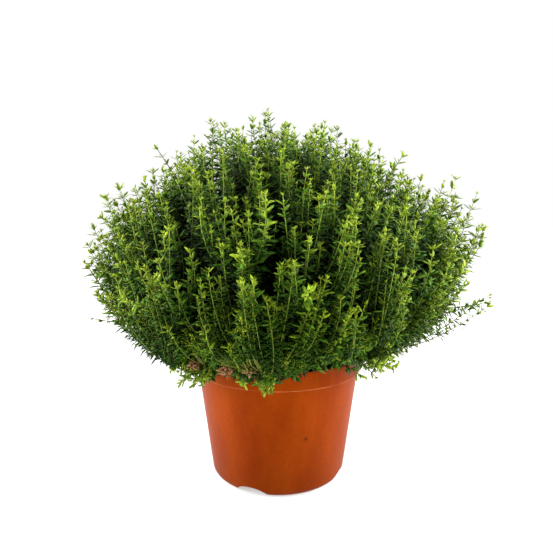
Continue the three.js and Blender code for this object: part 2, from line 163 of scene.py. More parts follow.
def moulded_polypropylene():
    """Satin plastic: faint flow marks, a fine moulded grain, one small scuff, painted shade towards the
    foot, and a patchy painted highlight along the band's foot and the lip.
    """
    material, tree, output = new_material("moulded_polypropylene")
    place = add(tree, "ShaderNodeTexCoord").outputs["Object"]
    height = add(tree, "ShaderNodeSeparateXYZ", links={"Vector": place}).outputs["Z"]
    long_marks = add(tree, "ShaderNodeMapping", inputs={"Scale": (1, 1, 0.35)}, links={"Vector": place})
    flow = add(tree, "ShaderNodeTexNoise", inputs={"Scale": 1 / (30 * MM), "Detail": 4, "Roughness": 0.6},
               links={"Vector": long_marks.outputs["Vector"]})
    body = add(tree, "ShaderNodeValToRGB", links={"Fac": flow.outputs["Fac"]},
               stops=[(0.3, linear(PLASTIC["deep"])), (0.75, linear(PLASTIC["light"])),
                      (0.5, linear(PLASTIC["mid"]))])
    # Painted shade: the wall is darker towards the foot and a little lighter near the band
    painted_shade_by_height = add(tree, "ShaderNodeMapRange", inputs={"From Min": 0, "From Max": 80 * MM,
               "To Min": 0.72, "To Max": 1.06}, links={"Value": height})
    specks = add(tree, "ShaderNodeTexNoise", inputs={"Scale": 1 / (2.5 * MM), "Detail": 3},
                 links={"Vector": place})
    speckle = add(tree, "ShaderNodeMapRange", inputs={"From Min": 0.3, "From Max": 0.7,
                  "To Min": 0.93, "To Max": 1.07}, links={"Value": specks.outputs["Fac"]})
    value = add(tree, "ShaderNodeMath", operation="MULTIPLY",
                links={0: painted_shade_by_height.outputs["Result"], 1: speckle.outputs["Result"]})
    shaded = add(tree, "ShaderNodeHueSaturation",
                 links={"Color": body.outputs["Color"], "Value": value.outputs["Value"]})
    # A pale painted highlight, in patches, along the band's lower edge and the lip
    band = add(tree, "ShaderNodeMath", operation="COMPARE",
               inputs={1: (BAND_FOOT + 0.5) * MM, 2: 0.55 * MM}, links={0: height})
    lip = add(tree, "ShaderNodeMath", operation="GREATER_THAN", inputs={1: (POT_HEIGHT - 0.5) * MM},
              links={0: height})
    edges = add(tree, "ShaderNodeMath", operation="MAXIMUM",
                links={0: band.outputs["Value"], 1: lip.outputs["Value"]})
    patches = add(tree, "ShaderNodeTexNoise", inputs={"Scale": 1 / (12 * MM), "Detail": 3},
                  links={"Vector": place})
    painted_highlight_patches = add(tree, "ShaderNodeMapRange", inputs={"From Min": 0.35, "From Max": 0.7,
                  "To Min": 0.05, "To Max": 0.5}, links={"Value": patches.outputs["Fac"]})
    painted_highlight_mask = add(tree, "ShaderNodeMath", operation="MULTIPLY",
              links={0: edges.outputs["Value"], 1: painted_highlight_patches.outputs["Result"]})
    highlighted = add(tree, "ShaderNodeMixRGB", inputs={"Color2": linear(PLASTIC["painted_highlight"])},
               links={"Fac": painted_highlight_mask.outputs["Value"], "Color1": shaded.outputs["Color"]})
    scuff_at = add(tree, "ShaderNodeVectorMath", operation="DISTANCE",
                   inputs={1: [part * MM for part in SCUFF_AT]}, links={0: place})
    scuff = add(tree, "ShaderNodeMapRange", inputs={"From Min": 0.9 * MM, "From Max": 2.1 * MM,
                "To Min": 0.9, "To Max": 0.0}, links={"Value": scuff_at.outputs["Value"]})
    marked = add(tree, "ShaderNodeMixRGB", inputs={"Color2": linear(PLASTIC["mark"])},
                 links={"Fac": scuff.outputs["Result"], "Color1": highlighted.outputs["Color"]})
    grain = add(tree, "ShaderNodeTexNoise", inputs={"Scale": 1 / (0.9 * MM), "Detail": 2},
                links={"Vector": place})
    bump = add(tree, "ShaderNodeBump", inputs={"Strength": 0.12, "Distance": 0.1 * MM},
               links={"Height": grain.outputs["Fac"]})
    sheen = add(tree, "ShaderNodeMapRange", inputs={"To Min": 0.36, "To Max": 0.52},
                links={"Value": flow.outputs["Fac"]})
    shader = add(tree, "ShaderNodeBsdfPrincipled",
                 inputs={"IOR": 1.49, "Specular IOR Level": 0.06, "Specular Tint": linear("#FF8030")},
                 links={"Base Color": marked.outputs["Color"], "Roughness": sheen.outputs["Result"],
                        "Normal": bump.outputs["Normal"]})
    tree.links.new(shader.outputs["BSDF"], output.inputs["Surface"])
    return material


shell = turned(POT_OUTLINE, POT_STEPS)
corners = [edge for edge in shell.edges if edge.calc_face_angle(0) > SHARP]
bmesh.ops.bevel(shell, geom=corners, offset=POT_EDGE, segments=3, profile=0.5, affect="EDGES", material=-1)
pot = object_from(shell, "nursery_pot", moulded_polypropylene())
notch_angles = [math.radians(FIRST_NOTCH + 360 / NOTCH_COUNT * i) for i in range(NOTCH_COUNT)]
cut(pot, [notch_cutter(angle) for angle in notch_angles])
pot.data.polygons.foreach_set("use_smooth", [True] * len(pot.data.polygons))
pot.data.set_sharp_from_angle(angle=SHARP)
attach(pot, "root")
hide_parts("pot")

# Compost
# Peat compost that fills the pot to a little below the rim band, crumbly and lumpy on top, where
# fine roots and bits of bark show. The woody stems stand in it.
SOIL_EDGE = 87
SOIL_CROWN = 92
SOIL_RADIUS = 64.1
SOIL_OUTLINE = [(0, 4.9), (FOOT_RADIUS, 4.9), (53.3, 7.4), (64.0, 85.6)]
SOIL_STEPS = 96
SOIL_RINGS = 36
SOIL_LUMP = 0.9
LUMPS_ACROSS = 0.31
LUMPS_ALONG = 0.27
CRUMB_RISE = 1.3
CRUMB_SCALE = 0.22
PEAT = {"dark": "#120B06", "mid": "#2A1B10", "bark": "#5A3D24", "grit": "#8C7A5E"}


def soil_height(x, y):
    """Height of the compost, a low crown with lumps."""
    crown = SOIL_CROWN + (SOIL_EDGE - SOIL_CROWN) * (math.hypot(x, y) / WALL_TOP_RADIUS) ** 2
    return crown + SOIL_LUMP * math.sin(x * LUMPS_ACROSS + 1) * math.cos(y * LUMPS_ALONG)


def peat_compost():
    """Dark peat with paler bark and grit in bits of 1 to 4 mm."""
    material, tree, output = new_material("peat_compost")
    place = add(tree, "ShaderNodeTexCoord").outputs["Object"]
    bits = add(tree, "ShaderNodeTexVoronoi", inputs={"Scale": 1 / (3 * MM)}, links={"Vector": place})
    shade = add(tree, "ShaderNodeSeparateColor", links={"Color": bits.outputs["Color"]})
    base = add(tree, "ShaderNodeValToRGB", links={"Fac": shade.outputs["Red"]},
               stops=[(0.0, linear(PEAT["dark"])), (1.0, linear(PEAT["grit"])),
                      (0.7, linear(PEAT["mid"])), (0.9, linear(PEAT["bark"]))])
    crumb = add(tree, "ShaderNodeTexNoise", inputs={"Scale": 1 / (1.2 * MM), "Detail": 5},
                links={"Vector": place})
    bump = add(tree, "ShaderNodeBump", inputs={"Strength": 0.7, "Distance": 0.6 * MM},
               links={"Height": crumb.outputs["Fac"]})
    shader = add(tree, "ShaderNodeBsdfPrincipled", inputs={"Roughness": 0.95},
                 links={"Base Color": base.outputs["Color"], "Normal": bump.outputs["Normal"]})
    tree.links.new(shader.outputs["BSDF"], output.inputs["Surface"])
    return material


soil_rows = [(SOIL_RADIUS * (1 - i / SOIL_RINGS), SOIL_EDGE) for i in range(SOIL_RINGS + 1)]
fill = turned([*SOIL_OUTLINE, *soil_rows], SOIL_STEPS)
for vert in fill.verts:
    if vert.co.z > SOIL_EDGE - 0.1:
        crumbs = noise.fractal(Vector((vert.co.x, vert.co.y, 0)) * CRUMB_SCALE, 1.0, 2.0, 4)
        vert.co.z = soil_height(vert.co.x, vert.co.y) + CRUMB_RISE * crumbs
compost = object_from(fill, "compost_fill", peat_compost())
compost.data.polygons.foreach_set("use_smooth", [True] * len(compost.data.polygons))
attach(compost, "root")
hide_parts("soil")

# Leafy stems
# Each is one grown stem of thyme: woody and brown low down, green above, with side shoots, and with
# narrow leaves in opposite pairs, a tuft of smaller leaves in each leaf's axil, and a tight tip.
STEM_COUNT = 35
STEM_FIELD = 55
STEM_FOOT = 1.5
GOLDEN_ANGLE = math.pi * (3 - math.sqrt(5))
RIM_CENTRE = Vector((0, 0, POT_HEIGHT))
# A stem's curve, in shares of its run and rise, and how high over the rim it passes
STEM_LEAN = 0.06
STEM_RISE = 0.36
TIP_RUN = 0.3
TIP_RISE = 0.22
OVER_RIM = 12
PATH_STEPS = 28
# The dome that the stems' tips end on, and those that stray from it: degrees round the pot, degrees
# above the rim, reach
RIM_REACH = 104
SIDE_REACH = 164
TOP_REACH = 190
SIDE_LIFT = 18
LOWEST_TIP = -4
LEAST_REACH = 0.96
REACH_SCATTER = 0.06
TURN_SCATTER = 0.12
STRAYS = [(0, 41, 190), (4, 30, 181), (-6, 14, 174), (179, 24, 174), (-95, -3, 94), (-50, 0, 104),
          (91, 20, 168), (-84, 25, 168)]
# How far the side shoots' tips reach from the rim's centre, by the degrees above the rim, and how
# much further they do on the right of the bush's shoulder than on its left
REACH_LIFTS = (-10, -2, 6, 14, 22, 30, 38, 46, 60, 72, 90)
REACHES = (94, 100, 104, 128, 160, 182, 190, 184, 186, 194, 194)
SHOULDERS = (0, -0.04, 0.04, 0)
SHOULDER_LIFTS = (6, 17, 34, 50)
# Side shoots that stand out from the rest, by where their tips are
KNOWN_TIPS = [(-7, -141, 224), (20, -140, 174), (39, -130, 153), (-36, -88, 143), (62, -68, 97),
              (81, -76, 108), (-9, -88, 95), (-12, -90, 98), (-4, -91, 99), (-8, -84, 101),
              (-56, -72, 98), (-64, -66, 100), (-24, -86, 99), (170, -12, 148), (165, -22, 141),
              (160, 0, 229), (144, 5, 241), (166, -5, 202), (130, -10, 238), (115, 0, 243),
              (-128, 0, 235), (-137, -5, 226), (163, 0, 138), (144, 5, 117),
              (86, -45, 98), (102, -20, 103), (112, -8, 106), (98, -35, 108),
              (156, 0, 156), (144, 0, 142), (120, 0, 112), (132, -8, 126)]
# The withered sprigs' tips, and the place in front that their tufts show from, with the leaves parted
WITHERED = [(-128, 4, 95), (-112, 4, 95), (-102, 5, 93)]
LOOKED_FROM = Vector((0, -423, 214))
PARTING = 7
PARTED_BEFORE = -60
PARTED_BELOW = POT_HEIGHT + 40
PARTED_BEHIND = 2
# Side shoots: how many, the shares of the dome's reach that they end between, and their leafed length
OUTER_SHOOTS = (1800, 0.89, 1.0, 60)
MIDDLE_SHOOTS = (620, 0.62, 0.88, 52)
INNER_SHOOTS = (240, 0.35, 0.62, 60)
REACH_CURVE = 1.5
SHOOT_SCATTER = 0.3
SHOOT_LENGTHS = (45, 85)
SHOOT_BARE = 0.1
LEAST_LEAFED = 18
KNOWN_LEAFED = 45
LEADER_LEAFED = 70
# Where side shoots may leave a stem, in shares of its length
FORK_SHARES = (0.14, 0.8)
FORKS_PER_STEM = 23
# Shoots crowd into columns: how many, how far down the dome, how far towards them, and how much
# shorter some columns are
COLUMNS = 560
COLUMNS_DOWN = 1.1
COLUMN_SCATTER = 0.25
COLUMN_PULL = 0.36
COLUMN_SHORTER = 0.07
# A side shoot's curve, in shares of its length, and how it leans out towards the bush's edge
SHOOT_START = 0.15
SHOOT_RISE = 0.6
SHOOT_SWEEP = 0.2
HEM_SWEEP = 0.45
SHOOT_SWAY = 0.22
LEAN_AT_EDGE = math.radians(68)
LEAN_FADE = 1.7
FRONT_LEAN = 0.45
SPRAWL_HEIGHT = 45
SPRAWL_LEAN = math.radians(95)
# Degrees round the pot, and how many degrees above the rim the lowest tips are there
LOWEST_ROUND = (-180, -160, -145, -132, -122, -112, -60, -48, -38, -20, 10, 180)
LOWEST_LIFTS = (2, -2, -7, -8, -3, 8, 12, 5, -3, -6, -4, 2)
# The stretch of the rim's front, from left to right, that the shoots leave in view
HEM_FROM = -46
HEM_TO = 70
HEM_STEP = 12
HEM_DROP = 5
HEM_SCATTER = 10
HEM_SLOPE = 0.3
HEM_TAPER = 1.08
# The ring, from one radius to another, where a stem has to pass over the rim
RIM_RING = (61, 75)
RIM_CLEARANCE = 3
LEAF_CLEARANCE = 1
# Twigs' radii at the tip and low down, and the lengths over which they thicken and turn to wood
TWIG_STEP = 13.0
TWIG_TIP = 0.25
SHOOT_THICKNESS = 0.5
LEADER_THICKNESS = 1.2
THICK_AFTER = 90
WOODY_AFTER = 150
LEADER_WOOD = 0.2
TWIG_TAPER = 0.86
TWIG_OVERLAP = 1.04
# Steps between pairs of leaves, wide near the tip and close further down
WHORL_STEP = 3.5
TIP_STEPS = (4.8, 5.8, 7.2)
CLOSE_AFTER = 1.5
STEP_SPREAD = (0.85, 1.15)
TURN_SPREAD = 0.25
TOP_BARE = 1.5
# How much of a shoot below its tip is young: little on most, much on those that stand out, and more
# towards the bush's sides and foot, which paints light there: their leaves are lighter, as well as bolder.
# Where that length is great, the young leaves are bolder. Those that stand out aren't dull: 0 is the dullest
# and 1 the brightest.
YOUNG_LENGTHS = (15, 50)
LEADER_YOUNG = 30
SIDE_WIDTH = 150
YOUNG_AND_PAINTED_LIGHT_AT_SIDE = 0.85
FOOT_HEIGHT = 80
YOUNG_AND_PAINTED_LIGHT_AT_FOOT = 0.55
KNOWN_DULLEST = 0.7
BOLD_LEAF = 0.25
# Leaves' lengths, and their widths and depths as shares of that
LEAF_LENGTH = 7.4
DEEP_LEAF_LENGTH = 10.5
SMALLEST_LEAF = 0.74
LENGTH_SPREAD = (0.82, 1.12)
LEAF_WIDTH = 0.31
TIP_LEAF_WIDTH = 0.35
NARROW_LEAF_WIDTH = 0.22
DEEP_LEAF_WIDTH = 0.5
LEAF_KEEL = 0.06
LEAF_THICKNESS = 0.07
LEAF_ARCH = 0.14
ARCH_FROM = 0.4
WIDEST_AT = 0.45
# A three-sided shape with a radius of 0.5 is this wide
THREE_SIDED_WIDTH = 0.87
# The finer leaf shape is kept for this length below a tip, or more on shoots that are young for long
FINE_WITHIN = 20
FINE_PER_YOUNG = 2
FINE_LESS = 60
# How far pairs of leaves spread from the twig, in radians, closed at the tip and open further down
LEAF_LEANS = (0.75, 1.42)
LEAN_SPREAD = (-0.22, 0.15)
PAIR_SPREAD = 0.2
OPEN_AFTER = 25
# The small leaves in the axils, how many where the shoot is young and elsewhere
YOUNG_AXIL_LEAVES = (1, 2, 2)
AXIL_LEAVES = (0, 1, 1, 2)
AXIL_TURN = 1.1
AXIL_RISES = (0.2, 2)
AXIL_LEANS = (0.75, 1.4)
AXIL_LENGTHS = (0.5, 0.8)
AXIL_YOUNGER = 0.12
# The tight tip of a shoot
BUD_LEAVES = 5
BUD_TURN = 1.9
BUD_DEPTH = 1.2
BUD_LEANS = (0.2, 0.8)
BUD_LENGTHS = (2.6, 3.8)
# The colour scale runs from 0 at a tip to 1, by ageing with the length below the tip and by painted shade
# with the depth in the dome; deep inside, leaves and twigs are painted near-black
OLD_AFTER = 1.7
OLDEST_IN_LIGHT = 0.6
AGE_CURVE = 0.7
AGE_SPREAD = 0.16
SHADE_FROM = 0.9
SHADE_AGE = 1.6
DEEP_FROM = 0.09
DEEPEST = 0.3
# Colours along that scale; the darkest, towards 1, are painted shade
LEAF = {"young": "#93AA27", "fresh": "#4A7015", "grown": "#1E430C", "old": "#0A1F05",
        "deep": "#030C02"}
TWIG = {"young": "#98A638", "green": "#64792A", "ripe": "#5A4822", "woody": "#2A190E"}
SKIN_GLEAM = "#D2E68C"


def draw(item, purpose):
    """The same repeatable draw between 0 and 1 that the solids are laid out with."""
    wave = math.sin(item * 12.9898 + purpose * 78.233) * 43758.5453
    return wave - math.floor(wave)


def mix(a, b, share):
    return a + (b - a) * share


def dome_reach(lift):
    """How far the dome reaches from the rim's centre at an angle above the rim."""
    side = math.sin(math.radians(SIDE_LIFT))
    share = math.sin(lift) / side
    if share < 1:
        return mix(RIM_REACH, SIDE_REACH, share)
    return mix(SIDE_REACH, TOP_REACH, (math.sin(lift) - side) / (1 - side))


def shoot_reach(around, lift):
    """How far the side shoots reach, in a direction and at an angle above the rim."""
    degrees = math.degrees(lift)
    shoulder = float(np.interp(degrees, SHOULDER_LIFTS, SHOULDERS))
    return float(np.interp(degrees, REACH_LIFTS, REACHES)) * (1 + shoulder * math.cos(around))


def direction(around, lift):
    return Vector((math.cos(around) * math.cos(lift), math.sin(around) * math.cos(lift), math.sin(lift)))


def given_tip(around, lift, reach):
    return direction(math.radians(around), math.radians(lift)), reach


def dome_tips():
    """Where each stem's tip lies: spread over the dome, the strays in place of the nearest."""
    tips = []
    for number in range(STEM_COUNT):
        share = (number + 0.5) / STEM_COUNT
        around = number * GOLDEN_ANGLE + TURN_SCATTER * (draw(number, 1) - 0.5)
        lift = math.asin(1 - share * (1 - math.sin(math.radians(LOWEST_TIP))))
        reach = dome_reach(lift) * (LEAST_REACH + REACH_SCATTER * draw(number, 2))
        tips.append((direction(around, lift), reach))
    for stray in STRAYS:
        toward, reach = given_tip(*stray)
        nearest = min(range(STEM_COUNT), key=lambda i: tips[i][0].angle(toward))
        tips[nearest] = (toward, reach)
    return tips


def shade_at(place):
    """How deep in the dome's shade a place is: 0 near its surface, towards 1 at its middle."""
    out = place - RIM_CENTRE
    distance = max(out.length, 1)
    reach = shoot_reach(math.atan2(out.y, out.x), math.asin(out.z / distance))
    return max(0.0, SHADE_FROM - distance / reach)


PARTED = []
for tip in WITHERED:
    toward, reach = given_tip(*tip)
    PARTED.append(toward * reach + RIM_CENTRE)


def leaves_part(place):
    """True in front of a withered tuft, where the green leaves part."""
    if place.y > PARTED_BEFORE or place.z > PARTED_BELOW:
        return False
    for middle in PARTED:
        sight = (LOOKED_FROM - middle).normalized()
        ahead = (place - middle).dot(sight)
        if ahead > -PARTED_BEHIND and (place - middle - sight * ahead).length < PARTING:
            return True
    return False


def by_direction(place, values):
    """A value that changes round the pot, at a place."""
    return float(np.interp(math.degrees(math.atan2(place.y, place.x)), LOWEST_ROUND, values))


def lowest_at(point, hem):
    """How low a stem may pass: clear of the rim, and with a hem, above the view of its front too."""
    over_rim = RIM_RING[0] < math.hypot(point.x, point.y) < RIM_RING[1]
    lowest = POT_HEIGHT + RIM_CLEARANCE if over_rim else 0
    if hem is not None and point.y < 0 and HEM_FROM < point.x < HEM_TO:
        past = -point.y - math.sqrt(max(RIM_RADIUS**2 - (point.x * HEM_TAPER) ** 2, 0))
        if past > 0:
            lowest = POT_HEIGHT + RIM_CLEARANCE + hem + HEM_SLOPE * past
    return lowest


class Path:
    """A curve that a stem or shoot follows from its root, and where it lies too low for leaves."""

    def __init__(self, *handles, hem=None):
        points = geometry.interpolate_bezier(*handles, PATH_STEPS)
        floors = [lowest_at(p, hem) for p in points]
        self.points = [Vector((p.x, p.y, max(p.z, floor))) for p, floor in zip(points, floors)]
        steps = [(b - a).length for a, b in zip(self.points, self.points[1:])]
        self.marks = np.cumsum([0, *steps])
        self.length = float(self.marks[-1])
        low = [mark for p, floor, mark in zip(points, floors, self.marks) if p.z < floor]
        self.clear_from = float(max(low, default=0)) if hem is not None else 0

    def at(self, distance):
        """The place at a distance from the root, and the direction there."""
        i = int(np.searchsorted(self.marks, distance, side="right")) - 1
        i = min(max(i, 0), len(self.points) - 2)
        a, b = self.points[i], self.points[i + 1]
        share = (distance - self.marks[i]) / max(self.marks[i + 1] - self.marks[i], 1e-6)
        return a.lerp(b, share), (b - a).normalized()


def leader_path(toward, reach, spot):
    """A stem's path, from its hole's mouth up, over the rim and out to its tip on the dome."""
    around = math.atan2(toward.y, toward.x)
    x, y = math.cos(around) * spot, math.sin(around) * spot
    mouth = Vector((x, y, soil_height(x, y) + STEM_FOOT))
    tip = toward * reach + RIM_CENTRE
    outward = Vector((tip.x - mouth.x, tip.y - mouth.y, 0))
    lean = mouth + outward * STEM_LEAN
    lean.z = max(mouth.z + (tip - mouth).length * STEM_RISE, POT_HEIGHT + OVER_RIM * 2)
    below = tip - outward * TIP_RUN
    below.z = max(tip.z - (tip.z - mouth.z) * TIP_RISE, POT_HEIGHT + OVER_RIM)
    return Path(mouth, lean, below, tip)


def growth_at(place, sprawls):
    """The direction that shoots grow in: upright, leaning out towards the edge, and flat if they sprawl."""
    out = math.hypot(place.x, place.y)
    aside = Vector((place.x, place.y, 0)) / max(out, 1)
    lift = max(math.atan2(place.z - POT_HEIGHT, out), 0) / (math.pi / 2)
    lean = LEAN_AT_EDGE * (1 - lift) ** LEAN_FADE * mix(1, FRONT_LEAN, abs(aside.y))
    if sprawls:
        lean = max(lean, SPRAWL_LEAN * (1 - (place.z - POT_HEIGHT) / SPRAWL_HEIGHT))
    return aside * math.sin(lean) + Vector((0, 0, math.cos(lean)))


def mesh_from(bm, name, slot=0):
    """A small shape as a mesh, with its material's number."""
    mesh = bpy.data.meshes.new(name)
    bm.to_mesh(mesh)
    bm.free()
    mesh.polygons.foreach_set("use_smooth", [True] * len(mesh.polygons))
    mesh.polygons.foreach_set("material_index", [slot] * len(mesh.polygons))
    return mesh


def tip_leaf_shape(width):
    """A leaf that is seen well: a flat spindle along Z, ridged above and arched back."""
    bm = bmesh.new()
    bmesh.ops.create_uvsphere(bm, u_segments=3, v_segments=3, radius=0.5)
    bmesh.ops.rotate(bm, matrix=Matrix.Rotation(math.pi / 2, 3, "Z"), verts=bm.verts)
    bmesh.ops.translate(bm, vec=(0, 0, 0.5), verts=bm.verts)
    bmesh.ops.scale(bm, vec=(width / THREE_SIDED_WIDTH, LEAF_THICKNESS, 1), verts=bm.verts)
    for vert in bm.verts:
        vert.co.y -= LEAF_ARCH * (vert.co.z**2 - vert.co.z * ARCH_FROM)
    return mesh_from(bm, "tip_leaf")


def plain_leaf_shape(width):
    """A leaf among many: a four-faced kite along Z, its margins raised above its midrib."""
    bm = bmesh.new()
    bmesh.ops.create_cone(bm, cap_ends=True, segments=3, radius1=0.5, radius2=0, depth=1)
    bmesh.ops.translate(bm, vec=(0, 0, 0.5), verts=bm.verts)
    for vert in bm.verts:
        margin = abs(vert.co.x) > 0.1
        vert.co.x *= width / THREE_SIDED_WIDTH
        vert.co.y = LEAF_KEEL if margin else -LEAF_ARCH * 0.5 * vert.co.z
        vert.co.z = WIDEST_AT if margin else vert.co.z
    bmesh.ops.recalc_face_normals(bm, faces=bm.faces)
    return mesh_from(bm, "plain_leaf")


def twig_shape():
    """One length of twig, a three-sided bar along Z."""
    bm = bmesh.new()
    bmesh.ops.create_cone(bm, cap_ends=True, segments=3, radius1=1, radius2=TWIG_TAPER, depth=1)
    bmesh.ops.translate(bm, vec=(0, 0, 0.5), verts=bm.verts)
    return mesh_from(bm, "twig", slot=1)


TIP_LEAF = tip_leaf_shape(TIP_LEAF_WIDTH)
NARROW_LEAF = plain_leaf_shape(NARROW_LEAF_WIDTH)
SMALL_LEAF = plain_leaf_shape(LEAF_WIDTH)
DEEP_LEAF = plain_leaf_shape(DEEP_LEAF_WIDTH)
TWIG_LENGTH = twig_shape()


class Sprig:
    """A stem being grown: its shape so far, and for each part its tint and its colour by ageing and painted
    shade.
    """

    def __init__(self, seed, parts=True):
        self.parts = parts
        self.bm = bmesh.new()
        self.random = random.Random(seed)
        self.ages_and_shades = []
        self.tints = []
        self.vigour = 0.5

    def put(self, shape, place, age_and_shade):
        part = shape.copy()
        part.transform(place)
        self.bm.from_mesh(part)
        bpy.data.meshes.remove(part)
        count = len(shape.vertices)
        self.ages_and_shades += [min(max(age_and_shade, 0), 1)] * count
        self.tints += [mix(self.random.random(), self.vigour, 0.5)] * count

    def twig(self, start, end, radius, age_and_shade):
        """A length of twig from one place to the next."""
        along = end - start
        turn = along.to_track_quat("Z", "Y").to_matrix().to_4x4()
        size = Matrix.Diagonal((radius, radius, along.length * TWIG_OVERLAP, 1))
        self.put(TWIG_LENGTH, Matrix.Translation(start) @ turn @ size, age_and_shade)

    def leaf(self, root, along, aside, lean, length, age_and_shade, shape):
        """A leaf that leaves the twig at an angle, its upper side towards the twig's tip."""
        ahead = along * math.cos(lean) + aside * math.sin(lean)
        above = along * math.sin(lean) - aside * math.cos(lean)
        end = root + ahead * length
        inside = math.hypot(end.x, end.y) < RIM_RADIUS + LEAF_CLEARANCE
        if inside and end.z < POT_HEIGHT + LEAF_CLEARANCE:
            return
        if self.parts and (leaves_part(root) or leaves_part(end)):
            return
        turn = Matrix((above.cross(ahead), above, ahead)).transposed().to_4x4()
        self.put(shape, Matrix.Translation(root) @ turn @ Matrix.Scale(length, 4), age_and_shade)

    def grow(self, path, first, thickness, young=YOUNG_LENGTHS[0], wood=0, dullest=0):
        """Twig, pairs of leaves with their axil tufts, and the tip, along a path."""
        rand = self.random
        self.vigour = rand.uniform(dullest, 1)
        joints = np.linspace(0, path.length, max(2, round(path.length / TWIG_STEP)) + 1)
        for near, far in zip(joints, joints[1:]):
            start, _ = path.at(near)
            end, _ = path.at(far)
            left = path.length - near
            radius = mix(TWIG_TIP, thickness, min(left / THICK_AFTER, 1))
            # Twigs turn woody with length and are darkened by painted shade deeper in the dome
            self.twig(start, end, radius, left / WOODY_AFTER + shade_at(start) + wood)
        turn = rand.uniform(0, math.pi)
        tip_step = rand.choice(TIP_STEPS)
        distance = first
        while distance < path.length - TOP_BARE:
            place, along = path.at(distance)
            turn += math.pi / 2 + rand.uniform(-TURN_SPREAD, TURN_SPREAD)
            left = path.length - distance
            self.whorl(place, along, turn, left, young)
            step = mix(tip_step, WHORL_STEP, min(left / (young * CLOSE_AFTER), 1))
            distance += step * rand.uniform(*STEP_SPREAD)
        # The tip's bud leaves are young, darkened only by painted shade
        tip, along = path.at(path.length)
        for i in range(BUD_LEAVES):
            self.leaf(tip - along * BUD_DEPTH, along, self.aside(along, turn + i * BUD_TURN),
                      rand.uniform(*BUD_LEANS), rand.uniform(*BUD_LENGTHS), shade_at(tip), SMALL_LEAF)

    def aside(self, along, turn):
        """The direction square to a twig at a turn round it."""
        side = along.orthogonal().normalized()
        return side * math.cos(turn) + along.cross(side) * math.sin(turn)

    def whorl(self, place, along, turn, left, young):
        """A pair of leaves and the small leaves in their axils."""
        rand = self.random
        ripe = min(left / OPEN_AFTER, 1)
        shade = shade_at(place)
        # Ageing by the length below the tip, plus painted shade by the depth in the dome
        age_and_shade = OLDEST_IN_LIGHT * min(left / (young * OLD_AFTER), 1) ** AGE_CURVE + shade * SHADE_AGE
        grown = mix(LEAF_LENGTH, DEEP_LEAF_LENGTH, min(shade / DEEPEST, 1))
        starry = left < young
        if starry:
            least, most = YOUNG_LENGTHS
            grown *= mix(1, 1 + BOLD_LEAF, (young - least) / (most - least))
        small = DEEP_LEAF if shade > DEEP_FROM else SMALL_LEAF
        if shade > DEEP_FROM:
            shape = DEEP_LEAF
        elif left < max(FINE_WITHIN, young * FINE_PER_YOUNG - FINE_LESS):
            shape = TIP_LEAF
        else:
            shape = SMALL_LEAF if starry else NARROW_LEAF
        for half in (0, math.pi):
            lean = mix(*LEAF_LEANS, ripe) + rand.uniform(*LEAN_SPREAD)
            length = grown * mix(SMALLEST_LEAF, 1, ripe) * rand.uniform(*LENGTH_SPREAD)
            aside = self.aside(along, turn + half + rand.uniform(-PAIR_SPREAD, PAIR_SPREAD))
            self.leaf(place, along, aside, lean, length, age_and_shade + rand.uniform(-AGE_SPREAD, AGE_SPREAD), shape)
            for _ in range(rand.choice(YOUNG_AXIL_LEAVES if starry else AXIL_LEAVES)):
                aside = self.aside(along, turn + half + rand.uniform(-AXIL_TURN, AXIL_TURN))
                self.leaf(place + along * rand.uniform(*AXIL_RISES), along, aside, rand.uniform(*AXIL_LEANS),
                          length * rand.uniform(*AXIL_LENGTHS), age_and_shade - AXIL_YOUNGER, small)

    def finish(self, name, *materials):
        """The grown stem as an object, with its parts' tint and their colour by ageing and painted shade as
        attributes.
        """
        piece = object_from(self.bm, name, *materials)
        for attribute, values in (("age_and_shade", self.ages_and_shades), ("tint", self.tints)):
            layer = piece.data.attributes.new(attribute, "FLOAT", "POINT")
            layer.data.foreach_set("value", np.array(values, dtype=np.float32))
        return piece


def plant_skin(name, colours, roughness, blemish):
    """Skin of leaf or twig: satin to dull, coloured by ageing and by painted shade deeper in the dome, each
    part lighter or darker than the next.
    """
    material, tree, output = new_material(name)
    place = add(tree, "ShaderNodeTexCoord").outputs["Object"]
    age_and_shade = add(tree, "ShaderNodeAttribute", attribute_name="age_and_shade")
    tint = add(tree, "ShaderNodeAttribute", attribute_name="tint")
    count = len(colours) - 1
    order = [0, count, *range(1, count)]
    skin = add(tree, "ShaderNodeValToRGB", links={"Fac": age_and_shade.outputs["Fac"]},
               stops=[(i / count, linear(list(colours.values())[i])) for i in order])
    mottle = add(tree, "ShaderNodeTexNoise", inputs={"Scale": 1 / (blemish * MM), "Detail": 3},
                 links={"Vector": place})
    lighter = add(tree, "ShaderNodeMapRange", inputs={"From Min": 0.1, "From Max": 0.9,
                  "To Min": 0.58, "To Max": 1.45}, links={"Value": tint.outputs["Fac"]})
    patchy = add(tree, "ShaderNodeMapRange", inputs={"From Min": 0.3, "From Max": 0.7,
                 "To Min": 0.85, "To Max": 1.12}, links={"Value": mottle.outputs["Fac"]})
    value = add(tree, "ShaderNodeMath", operation="MULTIPLY",
                links={0: lighter.outputs["Result"], 1: patchy.outputs["Result"]})
    shade = add(tree, "ShaderNodeHueSaturation",
                links={"Color": skin.outputs["Color"], "Value": value.outputs["Value"]})
    bump = add(tree, "ShaderNodeBump", inputs={"Strength": 0.25, "Distance": 0.08 * MM},
               links={"Height": mottle.outputs["Fac"]})
    shader = add(tree, "ShaderNodeBsdfPrincipled",
                 inputs={"Roughness": roughness, "Specular IOR Level": 0.28,
                         "Specular Tint": linear(SKIN_GLEAM)},
                 links={"Base Color": shade.outputs["Color"], "Normal": bump.outputs["Normal"]})
    tree.links.new(shader.outputs["BSDF"], output.inputs["Surface"])
    return material


